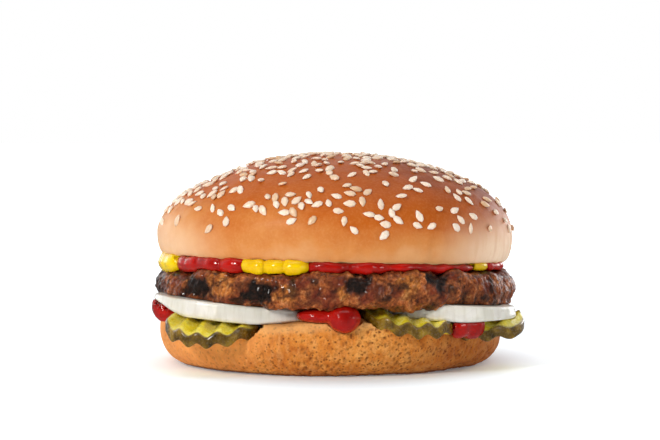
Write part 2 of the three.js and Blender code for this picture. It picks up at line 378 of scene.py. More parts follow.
def push(bm, how_far):
    """Moves every vertex along its normal by how_far(place, normal, vertex)."""
    bm.normal_update()
    moves = [(v, v.normal * how_far(v.co, v.normal, v)) for v in bm.verts]
    for v, move in moves:
        v.co += move
    bm.normal_update()


def smoothed(bm, rounds, verts=None):
    """Evens out some of the vertices, or all of them if none are given."""
    for _ in range(rounds):
        bmesh.ops.smooth_vert(bm, verts=bm.verts if verts is None else verts, factor=0.5)
    bm.normal_update()


def fit(bm, node_name, tilt=(0, 0)):
    """Tilts a mesh about X and Y, and centres it on the box of a CAD node."""
    bmesh.ops.rotate(bm, verts=bm.verts, matrix=Matrix.Rotation(tilt[0], 3, "X"))
    bmesh.ops.rotate(bm, verts=bm.verts, matrix=Matrix.Rotation(tilt[1], 3, "Y"))
    low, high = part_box(node_name)
    own = [Vector([pick(v.co[i] for v in bm.verts) for i in range(3)]) for pick in (min, max)]
    bmesh.ops.translate(bm, verts=bm.verts, vec=(low + high - own[0] - own[1]) / 2)


# %% Turning a bmesh into a piece of the burger
def piece(bm, name, finish, slot, *stands_for):
    """Makes the object, shaded smooth, that rides on the burger and stands for CAD nodes."""
    mesh = bpy.data.meshes.new(name)
    bm.to_mesh(mesh)
    bm.free()
    mesh.shade_smooth()
    mesh.materials.append(finish)
    made = bpy.data.objects.new(name, mesh)
    scene.collection.objects.link(made)
    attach(made, "root")
    if stands_for:
        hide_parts(*stands_for)
    print(f"{name}: {len(mesh.polygons)} faces")
    return made


# %% Pressing one piece into another
GAP = 0.15 * MM  # between pieces that touch
FAR = 1.0  # well outside the burger
DENT_REACH = (0.7 * MM, 1.5 * MM, 2.6 * MM, 4.0 * MM)  # how far off a dent is felt
DENT_SLOPE = 0.8
DENT_SHOWS = 0.7  # the part of the radius outside which dents get slopes, as they show there
DENT_ROUNDS = 8  # of smoothing


def met(tree, x, y, up):
    """The first height met at a place, looking up from far below or down from far above."""
    sign = 1 if up else -1
    hit = tree.ray_cast(Vector((x, y, -sign * FAR)), Vector((0, 0, sign)))[0]
    return hit.z if hit else None


def rest_on(bm, tree):
    """Lifts the vertices of a soft piece that sink into what it rests on."""
    for v in bm.verts:
        height = met(tree, v.co.x, v.co.y, False)
        if height is not None:
            v.co.z = max(v.co.z, height + GAP)


def room_under(tree, x, y, sloping=True):
    """How high a soft piece may reach at a place, under what lies on it. The limit rises
    with the distance to what lies there, which gives each dent sloping sides. It looks
    six ways at each distance, turned a little from one distance to the next."""
    heights = [(met(tree, x, y, True), 0.0)]
    for reach in DENT_REACH if sloping else ():
        for i in range(6):
            turn = i * math.pi / 3 + reach / MM
            height = met(tree, x + reach * math.cos(turn), y + reach * math.sin(turn), True)
            heights.append((height, reach * DENT_SLOPE))
    return min(
        (height - GAP + slack for height, slack in heights if height is not None), default=FAR
    )


def give_way(bm, tree, above):
    """Presses what is above a height in a soft piece down under what lies on it, and
    smooths the dents."""
    rim = max(v.co.xy.length for v in bm.verts) * DENT_SHOWS
    pressed = []
    for v in bm.verts:
        if v.co.z > above:
            room = room_under(tree, v.co.x, v.co.y, v.co.xy.length > rim)
            if v.co.z > room:
                v.co.z = room
                pressed.append(v)
    smoothed(bm, DENT_ROUNDS, pressed)


# %% How a CAD piece lies
def lie_of(node_name):
    """The height of a CAD piece's middle at x, y, from a smooth curved sheet fitted to
    its vertices, with the piece's centre and half sizes."""
    low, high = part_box(node_name)
    centre = (low + high) / 2
    x, y, z = np.array([v.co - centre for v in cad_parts[node_name].data.vertices]).T
    sheet = np.stack([np.ones_like(x), x, y, x * x, x * y, y * y], axis=1)
    weights = np.linalg.lstsq(sheet, z, rcond=None)[0]
    flat, lean_x, lean_y, bend_x, twist, bend_y = (float(w) for w in weights)

    def middle(x, y):
        x, y = x - centre.x, y - centre.y
        plane = centre.z + flat + lean_x * x + lean_y * y
        return plane + bend_x * x * x + twist * x * y + bend_y * y * y

    return middle, centre, (high - low) / 2


firm = bmesh.new()  # a copy of every piece that presses into the soft ones
print("pieces to make:", len(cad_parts))

# %% [markdown]
# ## Raw onion
# A slice is a disc of rings, of which only the outer one shows. Rings could be separate
# pieces, but pressed together they show only as seams, so the slice is one spun body
# with shallow grooves. Cut onion is wet and lets light in, so it gets some subsurface
# light and a coat of water, and fine veins run up its edge.


# %% Onion finish
def onion_finish():
    material = new_finish(
        "wet_onion",
        Subsurface_Weight=0.3,
        Subsurface_Radius=(2.2, 1.9, 1.4),
        Subsurface_Scale=1.0 * MM,
        Coat_Weight=0.35,
        Coat_Roughness=0.12,
    )
    tree = material.node_tree
    veins = clouds(tree, 1.0, 3.0, stretched(tree, 700, 700, 50))
    milk = clouds(tree, 120, 3.0)
    colour = mixed(tree, between(tree, veins, 0.45, 0.75), tint(230, 225, 216), tint(214, 207, 194))
    colour = mixed(tree, between(tree, milk, 0.4, 0.7, 0.0, 0.4), colour, tint(204, 202, 176))
    colour = mixed(tree, carried(tree, "seam", 0.6), colour, tint(170, 172, 132))
    wet = between(tree, milk, 0.3, 0.7, 0.22, 0.36)
    return finished(material, colour, wet, bump(tree, veins, 0.1 * MM))


WET_ONION = onion_finish()

# %% Onion shapes
ONION_SEAMS = (0.56, 0.79)  # where the seams between rings lie, as parts of the radius
SEAM_WIDTH = 0.45 * MM
SEAM_DEPTH = 0.35 * MM
ONION_EDGE = 1.3 * MM  # how far the rounded edges reach
ONION_TAPER = 0.3 * MM  # how much narrower a slice is at its top
ROUND = 2.1  # a superellipse's power: 2 is round, and more is a fuller corner

# Each slice loses parts of its thickness from below, towards -X and +X. Its middle lies a
# drop below the top of its CAD box, it leans along X and Y, and its front right quarter
# has a corner's power.
ONION_SLICES = {
    "onion_left": dict(
        thickness=4.9 * MM,
        lost_left=0.7,
        lost_right=0.5,
        drop=2.4 * MM,
        lean=(-0.1, -0.03),
        corner=4.5,
    ),
    "onion_right": dict(
        thickness=4.6 * MM,
        lost_left=0.6,
        lost_right=0.25,
        drop=3.1 * MM,
        lean=(-0.06, -0.03),
        corner=2.1,
    ),
    "onion_back": dict(
        thickness=4.2 * MM,
        lost_left=0.2,
        lost_right=0.3,
        drop=0.9 * MM,
        lean=(0.0, 0.03),
        corner=2.2,
    ),
}


def onion_disc(radius, thickness):
    """A slice with rounded edges, its top at height 0."""
    rim = radius - ONION_EDGE
    core = radius * 0.5
    top = radius - ONION_TAPER
    profile = [(0, -thickness)]
    profile += straight((0, -thickness), (core, -thickness), 4)
    profile += straight((core, -thickness), (rim, -thickness), 22)
    profile += quarter((rim, -thickness), (radius, -thickness + ONION_EDGE), 2.3, 8, True)
    profile += straight((radius, -thickness + ONION_EDGE), (top, -ONION_EDGE), 4)
    profile += quarter((top, -ONION_EDGE), (rim, 0), 2.3, 8, False)
    profile += straight((rim, 0), (core, 0), 22)
    profile += straight((core, 0), (0, 0), 4)
    return spun(profile, 260)


print("slices:", list(ONION_SLICES))


# %% Onion slices
def onion_slice(name, thickness, lost_left, lost_right, drop, lean, corner):
    """A disc that is grooved at its seams, thinned at its ends and made a little uneven."""
    low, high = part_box(name)
    centre = (low + high) / 2
    radius = (high.x - low.x) / 2
    bm = onion_disc(radius, thickness)
    seam = bm.verts.layers.float.new("seam")
    for v in bm.verts:
        around = v.co.xy.length / radius
        along = v.co.x / radius
        groove = max(math.exp(-(((around - at) * radius / SEAM_WIDTH) ** 2)) for at in ONION_SEAMS)
        v[seam] = groove
        v.co.z += SEAM_DEPTH * groove * (1 if v.co.z < -thickness / 2 else -1)
        v.co.z *= 1 - lost_left * fade(-along, 0.5, 1.05) - lost_right * fade(along, 0.2, 0.85)
        wobble = 0.35 * MM * rough(v.co + centre, 14 * MM, 2)
        ridges = 0.1 * MM * rough(Vector((v.co.x, v.co.y, 0)) + centre, 2.2 * MM, 2)
        turn = math.atan2(v.co.y, v.co.x)
        power = ROUND + (corner - ROUND) * fade(math.cos(turn + math.pi / 4), 0.5, 0.9)
        fuller = (abs(math.cos(turn)) ** power + abs(math.sin(turn)) ** power) ** (-1 / power)
        v.co.xy *= fuller + (wobble + ridges) / radius * around
        v.co.z += high.z - drop + lean[0] * v.co.x + lean[1] * v.co.y
        v.co.xy += centre.xy
        v.co.z += 0.2 * MM * rough(v.co, 12 * MM, 2)
    return bm


for name, shape in ONION_SLICES.items():
    bm = onion_slice(name, **shape)
    firm.from_mesh(piece(bm, f"{name}_slice", WET_ONION, "onion", name).data)

onion_tree = BVHTree.FromBMesh(firm)  # what chips and drops lie under

# %% [markdown]
# ## Pickle chips
# A crinkle cutter leaves waves, so the chip's dark rind shows as a scalloped band
# round its yellow-green flesh. A bump in the finish wouldn't give that scalloped
# outline, so the waves are in the mesh. The chip is spun as a plain disc, takes the lie
# of its CAD piece and its waves, bends under the onion, and hangs where nothing holds it.


# %% Pickle finish
def pickle_finish():
    material = new_finish(
        "wet_pickle",
        Subsurface_Weight=0.2,
        Subsurface_Radius=(1.6, 1.4, 0.4),
        Subsurface_Scale=1.0 * MM,
        Coat_Weight=0.6,
        Coat_Roughness=0.07,
    )
    tree = material.node_tree
    blotch = clouds(tree, 330, 4.0)
    fine = clouds(tree, 1500, 3.0)
    flesh = ramp(
        tree,
        blotch,
        (0.3, tint(232, 204, 26)),
        (0.5, tint(252, 230, 54)),
        (0.7, tint(255, 244, 120)),
    )
    rind = ramp(
        tree,
        blotch,
        (0.32, tint(60, 44, 5)),
        (0.5, tint(108, 80, 14)),
        (0.72, tint(160, 126, 30)),
    )
    flesh = mixed(tree, carried(tree, "seeds", 0.5), flesh, tint(228, 214, 140))
    colour = mixed(tree, carried(tree, "rind"), flesh, rind)
    normal = bump(tree, fine, 0.06 * MM, bump(tree, blotch, 0.25 * MM))
    return finished(material, colour, between(tree, fine, 0.3, 0.7, 0.16, 0.34), normal)


WET_PICKLE = pickle_finish()

# %% Pickle shapes
PICKLE_THICKNESS = 3.2 * MM
PICKLE_EDGE = 0.7 * MM  # how far the rounded edges reach
WAVE_LENGTH = 5.2 * MM
WAVE_HEIGHT = 0.65 * MM
FREE_HANG = 0.5 * MM  # how far a chip's rim hangs where nothing holds it

# The waves of a chip follow one another along its spin, in degrees. Its curl says how
# much of the CAD piece's bend it takes, and it is lifted and leant along X and Y.
PICKLE_CHIPS = {
    "pickle_left": dict(spin=-12, curl=1.0, lift=0.3 * MM, lean=(-0.05, 0.05)),
    "pickle_middle": dict(spin=8, curl=0.0, lift=2.4 * MM, lean=(-0.13, 0.18)),
    "pickle_right": dict(spin=-24, curl=1.0, lift=2.1 * MM, lean=(0.03, 0.08)),
    "pickle_back": dict(spin=160, curl=1.0, lift=0.0, lean=(0.0, 0.0)),
}


def pickle_disc(radius):
    """A chip before its waves, its middle at height 0."""
    rim = radius - PICKLE_EDGE
    top = PICKLE_THICKNESS / 2
    profile = [(0, -top)]
    profile += straight((0, -top), (rim, -top), 26)
    profile += quarter((rim, -top), (radius, -top + PICKLE_EDGE), 2, 5, True)
    profile += straight((radius, -top + PICKLE_EDGE), (radius, top - PICKLE_EDGE), 5)
    profile += quarter((radius, top - PICKLE_EDGE), (rim, top), 2, 5, False)
    profile += straight((rim, top), (0, top), 26)
    return spun(profile, 170)


print("chips:", list(PICKLE_CHIPS))


# %% Pickle chips
def pickle_chip(name, spin, curl, lift, lean):
    """A disc that is waved, bent and laid under the onion."""
    sheet, centre, half = lie_of(name)
    radius = (half.x + half.y) / 2
    bm = pickle_disc(radius)
    rind = bm.verts.layers.float.new("rind")
    seeds = bm.verts.layers.float.new("seeds")
    waves_to = Vector((math.cos(math.radians(spin)), math.sin(math.radians(spin))))
    free_to = centre.xy.normalized()
    for v in bm.verts:
        out = v.co.xy.length
        turn = math.atan2(v.co.y, v.co.x)
        v[rind] = fade(out, radius - 0.9 * MM, radius - 0.3 * MM)
        lobe = fade(math.sin(3 * turn) + 0.8 * rough(v.co, 2 * MM), 0.2, 0.8)
        v[seeds] = lobe * fade(out / radius, 0.75, 0.5)
        wave = WAVE_HEIGHT * math.sin(2 * math.pi * v.co.xy.dot(waves_to) / WAVE_LENGTH)
        free = fade(v.co.xy.dot(free_to) / radius, 0.0, 1.0)
        uneven = 0.3 * MM * rough(v.co + centre, 7 * MM, 2)
        lie = centre.z + lift + lean[0] * v.co.x + lean[1] * v.co.y - wave - FREE_HANG * free
        v.co.x *= (half.x + uneven) / radius
        v.co.y *= (half.y + uneven) / radius
        v.co.xy += centre.xy
        lie += curl * (sheet(v.co.x, v.co.y) - centre.z)
        lie = min(lie, room_under(onion_tree, v.co.x, v.co.y) - PICKLE_THICKNESS / 2)
        v.co.z += lie + 0.15 * MM * rough(v.co, 4 * MM, 2)
    return bm


for name, lie in PICKLE_CHIPS.items():
    bm = pickle_chip(name, **lie)
    firm.from_mesh(piece(bm, f"{name}_chip", WET_PICKLE, "pickle", name).data)

# %% [markdown]
# ## Ketchup and mustard
# Sauce has no corners, and no two drops are alike. A fluid simulation could pour it, but
# the CAD solids already say where it lies. So a copy of each is merged, remeshed into
# even small faces and smoothed until it melts, which keeps its place and its lobes. A
# glossy coat gives the small sharp highlights.


# %% Sauce finishes
def sauce_finish(name, thin, thick, depth):
    material = new_finish(
        name,
        Subsurface_Weight=0.15,
        Subsurface_Radius=depth,
        Subsurface_Scale=1.0 * MM,
        Coat_Weight=0.55,
        Coat_Roughness=0.04,
        Specular_IOR_Level=0.25,
    )
    tree = material.node_tree
    swirl = clouds(tree, 160, 3.0)
    grain = clouds(tree, 1800, 2.0)
    colour = mixed(tree, between(tree, swirl, 0.35, 0.68), thick, thin)
    normal = bump(tree, grain, 0.015 * MM, bump(tree, swirl, 0.15 * MM))
    return finished(material, colour, between(tree, grain, 0.3, 0.7, 0.16, 0.28), normal)


KETCHUP = sauce_finish("ketchup", tint(188, 20, 8), tint(142, 8, 3), (1.2, 0.15, 0.08))
MUSTARD = sauce_finish("mustard", tint(246, 214, 4), tint(232, 184, 0), (1.0, 0.7, 0.1))


# %% Melting a CAD solid into sauce
def remeshed(bm, face_size):
    """The same closed surface in even faces. The bmesh given is used up."""
    mesh = bpy.data.meshes.new("melting")
    bm.to_mesh(mesh)
    bm.free()
    helper = bpy.data.objects.new("melting", mesh)
    scene.collection.objects.link(helper)
    even = helper.modifiers.new("even", "REMESH")
    even.mode = "VOXEL"
    even.voxel_size = face_size
    made = bmesh.new()
    made.from_object(helper, bpy.context.evaluated_depsgraph_get())
    bpy.data.objects.remove(helper)
    bpy.data.meshes.remove(mesh)
    return made


def melted(node_name, face_size, fill):
    """A smooth copy of a CAD solid. It swells, so that the creases between its lobes
    fill up, and shrinks again by as much."""
    bm = bmesh.new()
    bm.from_mesh(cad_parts[node_name].data)
    bmesh.ops.remove_doubles(bm, verts=bm.verts, dist=1e-6)
    bm = remeshed(bm, face_size)
    smoothed(bm, 4)
    push(bm, lambda place, normal, v: fill)
    bm = remeshed(bm, face_size)
    smoothed(bm, 6)
    push(bm, lambda place, normal, v: -fill)
    smoothed(bm, 4)
    return bm


# %% Drops under the patty
DROP_FACE = 0.35 * MM
DROP_FILL = 1.2 * MM
DROP_LUMPS = 0.3 * MM
RISING_END = 7.5 * MM  # how much of a drop's left end rises
RISES_OVER = 5 * MM  # how far it takes to reach the full rise

# How far each drop swells past its CAD solid, and how far its left end rises.
DROPS = {
    "ketchup_low_left": (0.5 * MM, 2.0 * MM),
    "ketchup_low_middle": (0.6 * MM, 0.0),
    "ketchup_low_right": (0.8 * MM, 0.0),
    "ketchup_low_back": (0.6 * MM, 0.0),
}


def ketchup_drop(name, swell, rise):
    """A melted drop that keeps under the onion."""
    bm = melted(name, DROP_FACE, DROP_FILL)
    push(bm, lambda place, normal, v: swell + DROP_LUMPS * rough(place, 5 * MM, 2))
    low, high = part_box(name)
    for v in bm.verts:
        up = (v.co.z - low.z) / (high.z - low.z)
        v.co.z += rise * max(0.0, up) * fade(low.x + RISING_END - v.co.x, 0.0, RISES_OVER)
    give_way(bm, onion_tree, low.z)
    return bm


for name, shape in DROPS.items():
    bm = ketchup_drop(name, *shape)
    firm.from_mesh(piece(bm, f"{name}_drop", KETCHUP, "ketchup", name).data)

# %% [markdown]
# ## Beef patty
# Ground beef is strands and lumps, which throw shadows and break the outline, so they
# are in the mesh and not only in a bump. Large lumps come first, then cells that bulge
# like crumbs of meat, then grain. The grill chars the rim in spots, where the meat
# shrinks back, and fat browns to gold between them; one small pale spot among them is a
# painted highlight of wet fat. Each vertex carries how charred, how golden, how red and
# how deep it is, and the deep crevices and hollows are painted dark as shade.


# %% Patty finish
def beef_finish():
    material = new_finish(
        "grilled_beef",
        Coat_Weight=0.3,
        Coat_Roughness=0.09,
        Specular_IOR_Level=0.15,
        Subsurface_Weight=0.05,
        Subsurface_Radius=(1.5, 0.5, 0.25),
        Subsurface_Scale=1.0 * MM,
    )
    tree = material.node_tree
    lump = clouds(tree, 300, 5.0)
    fine = clouds(tree, 1300, 5.0, roughness=0.65)
    blend = halfway(tree, lump, fine)
    meat = ramp(
        tree,
        blend,
        (0.36, tint(74, 34, 13)),
        (0.46, tint(134, 66, 29)),
        (0.55, tint(182, 100, 48)),
        (0.66, tint(230, 154, 92)),
    )
    golden = ramp(
        tree,
        blend,
        (0.38, tint(118, 60, 20)),
        (0.52, tint(196, 114, 46)),
        (0.66, tint(240, 172, 96)),
    )
    black = mixed(tree, between(tree, fine, 0.5, 0.75), tint(20, 10, 6), tint(66, 38, 25))
    colour = mixed(tree, carried(tree, "red", 0.7), meat, tint(112, 36, 20))
    # Browned fat is painted golden, and one small spot is a painted highlight of wet fat.
    colour = mixed(tree, carried(tree, "gold"), colour, golden)
    # Painted shade: crevices between crumbs and hollows between lumps are painted dark.
    colour = mixed(tree, carried(tree, "depth", 0.85), colour, tint(34, 15, 9))
    colour = mixed(tree, carried(tree, "char"), colour, black)
    normal = bump(tree, fine, 0.5 * MM, bump(tree, lump, 0.4 * MM))
    return finished(material, colour, between(tree, fine, 0.35, 0.65, 0.26, 0.5), normal)


GRILLED_BEEF = beef_finish()

# %% Spots on the patty
PATTY_THICKNESS = 9.8 * MM

# Spots on the rim, in mm: across, up from the middle of the meat, and the two half widths.
CHAR_SPOTS = (
    (-38.6, 0.8, 3.6, 3.0),
    (-21, -0.8, 4.8, 3.8),
    (6.2, 1.8, 3.2, 3.9),
    (27.6, 3.0, 3.2, 2.6),
)
# Golden spots of browned fat. The small third one is a painted highlight of wet fat.
GOLD_SPOTS = (
    (-30, 1.2, 4.4, 3.6),
    (-13, -0.6, 3.8, 3.0),
    (2, -0.6, 1.6, 3.2),
    (20, 1.2, 3.4, 3.2),
)


def spotted(place, spots, roughness, size):
    """How far inside a spot a place is, 0 to 1, with ragged rims. The spots are on the
    front, and turned half round on the back."""
    side = 1 if place.y < 0 else -1
    inside = blot(place.x * side / MM, (place.z + PATTY_THICKNESS / 2) / MM, spots)
    return fade(inside + roughness * rough(place, size), -0.1, 0.35)


print("charred spots:", len(CHAR_SPOTS))


# %% Patty shape
PATTY_RIM = 3.6 * MM  # how far in the rounded edge reaches
PATTY_RING = 7 * MM  # how far in from there the finer faces reach
PATTY_TILT = (math.atan(-0.022), 0)
THIN_END = 3.0 * MM  # how much thinner the left end is
LEFT_DROOP = 1.5 * MM
RIGHT_DROOP = 2.3 * MM


def patty_disc(radius):
    """The bare form of the patty, its top at height 0, with drooping ends."""
    bottom, middle = -PATTY_THICKNESS, -PATTY_THICKNESS / 2
    inner = radius - PATTY_RIM
    ring = inner - PATTY_RING
    profile = [(0, bottom)]
    profile += straight((0, bottom), (ring, bottom), 8)
    profile += straight((ring, bottom), (inner, bottom), 14)
    profile += quarter((inner, bottom), (radius, middle), 2.4, 16, True)
    profile += quarter((radius, middle), (inner, 0), 2.4, 16, False)
    profile += straight((inner, 0), (ring, 0), 14)
    profile += straight((ring, 0), (0, 0), 8)
    bm = spun(profile, 760)
    for v in bm.verts:
        thin_end = fade(-v.co.x, radius * 0.72, radius)
        v.co.z += THIN_END * thin_end * -v.co.z / PATTY_THICKNESS
        droop = LEFT_DROOP if v.co.x < 0 else RIGHT_DROOP
        v.co.z -= droop * fade(abs(v.co.x), radius * 0.55, radius)
    return bm


print("the patty's thickness, in mm:", round(PATTY_THICKNESS / MM, 1))


# %% Patty
LUMPS = 1.5 * MM
CRUMBS = 0.4 * MM
CRUMB_SIZE = 2.1 * MM
GRAIN = 0.3 * MM
CHAR_SHRINKS = 1.0 * MM


def patty():
    """The bare form made meaty, lying on whatever it meets below."""
    low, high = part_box("patty")
    radius = (high.x - low.x) / 2
    bm = patty_disc(radius)
    names = ("char", "gold", "red", "depth")
    char, gold, red, depth = (bm.verts.layers.float.new(name) for name in names)

    def meaty(place, normal, v):
        rim = fade(place.xy.length, radius * 0.8, radius * 0.95)
        warped = place + 1.4 * MM * noise.noise_vector(place / (3 * MM))
        _, inside = cell(warped, CRUMB_SIZE)
        crumbs = min(1.0, 2.0 * inside)
        lumps = LUMPS * rough(place, 8 * MM, 2)
        grain = GRAIN * rough(place, 1.6 * MM, 3)
        charred = spotted(place, CHAR_SPOTS, 0.5, 2.6 * MM)
        speckle = fade(rough(place + Vector((0, 0, 0.2)), 3.4 * MM), 0.22, 0.5)
        tip = fade(-place.x, radius * 0.9, radius * 0.98)
        v[char] = min(1.0, charred + 0.8 * speckle + 0.8 * tip)
        # Golden browned fat, and in one small spot a painted highlight of wet fat.
        v[gold] = spotted(place, GOLD_SPOTS, 0.6, 3 * MM) * (1 - charred)
        v[red] = fade(rough(place + Vector((0.1, 0, 0)), 6 * MM, 2), -0.05, 0.4)
        # depth: how far into a crevice or hollow a place lies, which is painted dark as shade.
        v[depth] = min(1.0, 0.6 * fade(crumbs, 0.5, 0.0) + 0.7 * fade(-lumps / MM, 0.2, 1.2))
        bulge = lumps + CRUMBS * (crumbs - 0.6) + grain
        return bulge * (0.3 + 0.7 * rim) - CHAR_SHRINKS * charred * rim

    push(bm, meaty)
    fit(bm, "patty", PATTY_TILT)
    rest_on(bm, BVHTree.FromBMesh(firm))
    return bm


bm = patty()
patty_tree = BVHTree.FromBMesh(bm)
firm.from_mesh(piece(bm, "grilled_patty", GRILLED_BEEF, "beef", "patty").data)

# %% [markdown]
# ## Sauce on the patty
# These ribbons are squeezed between the meat and the crown, so their ends bulge out
# as beads. The same melted copies are used, swollen near the rim until they meet, and
# then laid on the lumpy meat.

# %% Ribbons
RIBBON_FACE = 0.45 * MM
RIBBON_SWELL = 0.4 * MM
RIBBON_LUMPS = 0.5 * MM
BEAD_FROM = 42 * MM  # from the middle of the burger, where the beads begin
BEAD_FULL = 46.5 * MM
BEAD_SAG = 1.1 * MM
BEAD_RISE = 0.7 * MM
MELTING_ROUNDS = 14

# How far each bead bulges out, and how far its creases fill up.
RIBBONS = {
    "ketchup_left": (1.2 * MM, 0.9 * MM),
    "ketchup_middle": (0.9 * MM, 0.9 * MM),
    "ketchup_right": (1.6 * MM, 0.5 * MM),
    "mustard_far_left": (2.2 * MM, 0.5 * MM),
    "mustard_left": (1.5 * MM, 0.9 * MM),
    "mustard_right": (1.2 * MM, 0.5 * MM),
}


def ribbon(name, bulge, fill):
    """A melted ribbon with beads at its ends, lying on the meat."""
    bm = melted(name, RIBBON_FACE, fill)
    low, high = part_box(name)
    middle = (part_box("crown")[0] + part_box("crown")[1]) / 2

    def bead(place):
        return fade((place.xy - middle.xy).length, BEAD_FROM, BEAD_FULL)

    def swell(place, normal, v):
        side = 1 - abs(normal.z)
        lumps = RIBBON_LUMPS * rough(place, 5 * MM, 2)
        return RIBBON_SWELL * side + bead(place) * (bulge * side + lumps)

    push(bm, swell)
    for v in bm.verts:
        up = (v.co.z - low.z) / (high.z - low.z)
        v.co.z += bead(v.co) * (BEAD_RISE * up - BEAD_SAG * (1 - up))
    smoothed(bm, MELTING_ROUNDS)
    rest_on(bm, patty_tree)
    smoothed(bm, 1)
    return bm


for name, shape in RIBBONS.items():
    slot = name.split("_")[0]
    finish = KETCHUP if slot == "ketchup" else MUSTARD
    piece(ribbon(name, *shape), f"{name}_ribbon", finish, slot, name)

# %% [markdown]
# ## Heel of the bun
# The heel was baked on a tray and then toasted. Its side is fine crumb, full of small
# pits, with smoother skin where it touched no other bun. Pits as deep as these show in
# the mesh, and the finest pores only in the finish; both are also painted dark as shade,
# and the right side is painted darker as if in shade. Everything above presses into it: a
# cloth simulation could do that, but reading the room above each vertex is quick and
# comes out the same each time.


# %% Crumb finish
def crumb_finish():
    material = new_finish("golden_crumb", Specular_IOR_Level=0.2)
    tree = material.node_tree
    broad = clouds(tree, 55, 3.0)
    medium = clouds(tree, 420, 5.0)
    fine = clouds(tree, 1700, 4.0, roughness=0.65)
    strands = clouds(tree, 1.0, 3.0, stretched(tree, 800, 800, 260))
    pores = cells(tree, 800)
    base = ramp(
        tree,
        halfway(tree, broad, medium),
        (0.36, tint(188, 100, 32)),
        (0.5, tint(220, 134, 50)),
        (0.64, tint(244, 170, 84)),
    )
    base = mixed(tree, between(tree, strands, 0.45, 0.75, 0.0, 0.5), base, tint(242, 178, 104))
    base = mixed(tree, between(tree, fine, 0.5, 0.3, 0.0, 0.6), base, tint(158, 80, 26))
    base = mixed(tree, carried(tree, "skin", 0.6), base, tint(244, 162, 88))
    # Painted shade: darker towards the right side.
    base = mixed(tree, carried(tree, "brown", 0.7), base, tint(150, 74, 20))
    # Painted shade: the pores and the pits are painted dark, the pores less where the skin is
    # smooth.
    bare = between(tree, carried(tree, "skin"), 0, 1, 0.9, 0.35)
    open_pores = calc(tree, "MULTIPLY", between(tree, pores, 0.3, 0.1), bare)
    base = mixed(tree, open_pores, base, tint(116, 56, 16))
    base = mixed(tree, carried(tree, "pit", 0.75), base, tint(104, 46, 12))
    base = mixed(tree, carried(tree, "edge", 0.6), base, tint(236, 176, 110))
    colour = mixed(tree, carried(tree, "tray"), base, tint(140, 74, 26))
    normal = bump(tree, pores, 0.25 * MM, bump(tree, fine, 0.15 * MM, bump(tree, medium, 0.3 * MM)))
    return finished(material, colour, between(tree, fine, 0.3, 0.7, 0.6, 0.85), normal)


GOLDEN_CRUMB = crumb_finish()


# %% Heel shape
HEEL_FOOT = 0.834  # the flat underside, as a part of the radius
HEEL_SHOULDER = 0.61  # where it is widest, as a part of the height
HEEL_LIP = 1.3 * MM  # how far the rounded top edge reaches
HEEL_TAPER = 0.4 * MM  # how much narrower it is at its top
HEEL_SAG = 1.5 * MM  # how far the front rim sags beside the left onion
HEEL_SAG_AT = -17 * MM
HEEL_SAG_WIDTH = 9 * MM


def heel_loaf(radius, height):
    """The bare form of the heel, standing at height 0."""
    foot = radius * HEEL_FOOT
    shoulder = height * HEEL_SHOULDER
    wall = radius - HEEL_TAPER
    top = wall - HEEL_LIP
    core = radius * 0.6
    profile = [(0, 0)]
    profile += straight((0, 0), (foot, 0), 10)
    profile += quarter((foot, 0), (radius, shoulder), 2.1, 30, True)
    profile += straight((radius, shoulder), (wall, height - HEEL_LIP), 14)
    profile += quarter((wall, height - HEEL_LIP), (top, height), 2, 6, False)
    profile += straight((top, height), (core, height), 22)
    profile += straight((core, height), (0, height), 6)
    return spun(profile, 720)


print("the heel's foot, as a part of its radius:", HEEL_FOOT)


# %% Heel
PIT_SPACING = 1.3 * MM
PIT_DEPTH = 0.4 * MM
PRESSED_ABOVE = 5 * MM


def heel():
    """The bare form made bready, pressed down by all that lies on it."""
    low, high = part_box("heel")
    radius = (high.x - low.x) / 2
    height = high.z - low.z
    foot = radius * HEEL_FOOT
    bm = heel_loaf(radius, height)
    names = ("skin", "pit", "tray", "edge", "brown")
    skin, pit, tray, edge, brown = (bm.verts.layers.float.new(name) for name in names)

    def bready(place, normal, v):
        side = fade(place.xy.length, foot * 0.9, foot)
        smooth_skin = fade(0.5 * rough(place, 26 * MM, 2) - place.x / (60 * MM), 0.3, 0.8)
        near, _ = cell(place, PIT_SPACING)
        pits = fade(near, 0.42, 0.15) * fade(rough(place, 5 * MM, 2), -0.35, 0.15)
        v[skin] = smooth_skin * side
        # pit: how deep in a pit a place lies; it dents the mesh and is also painted dark as shade.
        v[pit] = pits * (1 - 0.6 * smooth_skin) * side
        # Painted shade: the right side is painted darker, as if in shade.
        v[brown] = fade(place.x / radius, 0.1, 0.95)
        v[tray] = fade(place.z, 1.2 * MM, 0.2 * MM)
        v[edge] = fade(place.z + 0.8 * MM * rough(place, 4 * MM), height - 4 * MM, height - 1 * MM)
        broad = 0.35 * MM * rough(place, 18 * MM, 2)
        crumb = 0.22 * MM * rough(place, 2.0 * MM, 3) * (1 - 0.7 * smooth_skin)
        return side * (broad + crumb - PIT_DEPTH * v[pit])

    push(bm, bready)
    fit(bm, "heel")
    for v in bm.verts:
        beside = math.exp(-(((v.co.x - HEEL_SAG_AT) / HEEL_SAG_WIDTH) ** 2))
        sag = beside * fade(-v.co.y, 30 * MM, 42 * MM)
        v.co.z -= HEEL_SAG * sag * fade(v.co.z, height * 0.5, height)
        v.co.z = max(v.co.z, 0.0)
    give_way(bm, BVHTree.FromBMesh(firm), PRESSED_ABOVE)
    return bm


piece(heel(), "bun_heel", GOLDEN_CRUMB, "crumb", "heel")
